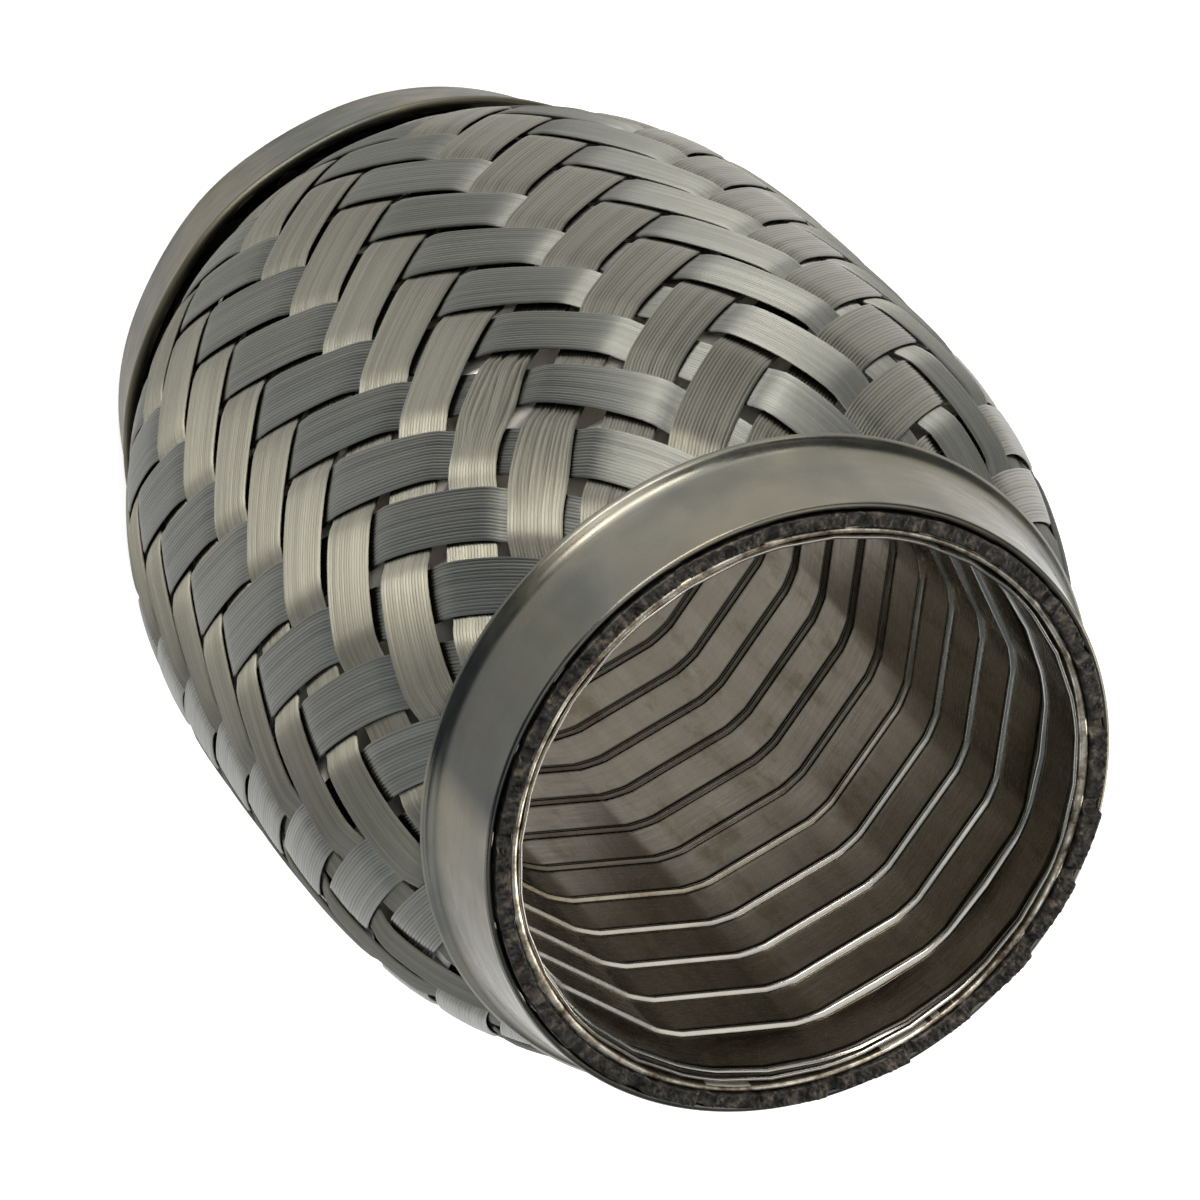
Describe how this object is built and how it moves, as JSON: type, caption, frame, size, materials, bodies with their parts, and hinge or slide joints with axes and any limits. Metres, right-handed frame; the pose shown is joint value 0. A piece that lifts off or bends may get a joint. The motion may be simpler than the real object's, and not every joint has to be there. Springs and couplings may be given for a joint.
{
  "type": "exhaust flex pipe",
  "caption": "Short round exhaust flex pipe: woven steel wire sleeve over a corrugated tube with a strip-wound liner, crimped in a flared sheet cap at each end.",
  "frame": {"origin": "middle of the rear end, on the plane that the cut wire ends stand on", "axes": "+Z along the pipe's axis, from the rear end to the front mouth"},
  "size_m": [0.081, 0.081, 0.1036],
  "materials": {
    "cap_steel": "satin rolled sheet",
    "braid_wire": "satin drawn wire",
    "bellows_steel": "bright formed sheet",
    "liner_steel": "satin rolled strip"
  },
  "bodies": {
    "root": {"front_cap": "cap_steel", "rear_cap": "cap_steel", "braid_sleeve": "braid_wire", "bellows": "bellows_steel", "interlock_liner": "liner_steel"}
  },
  "joints": []
}
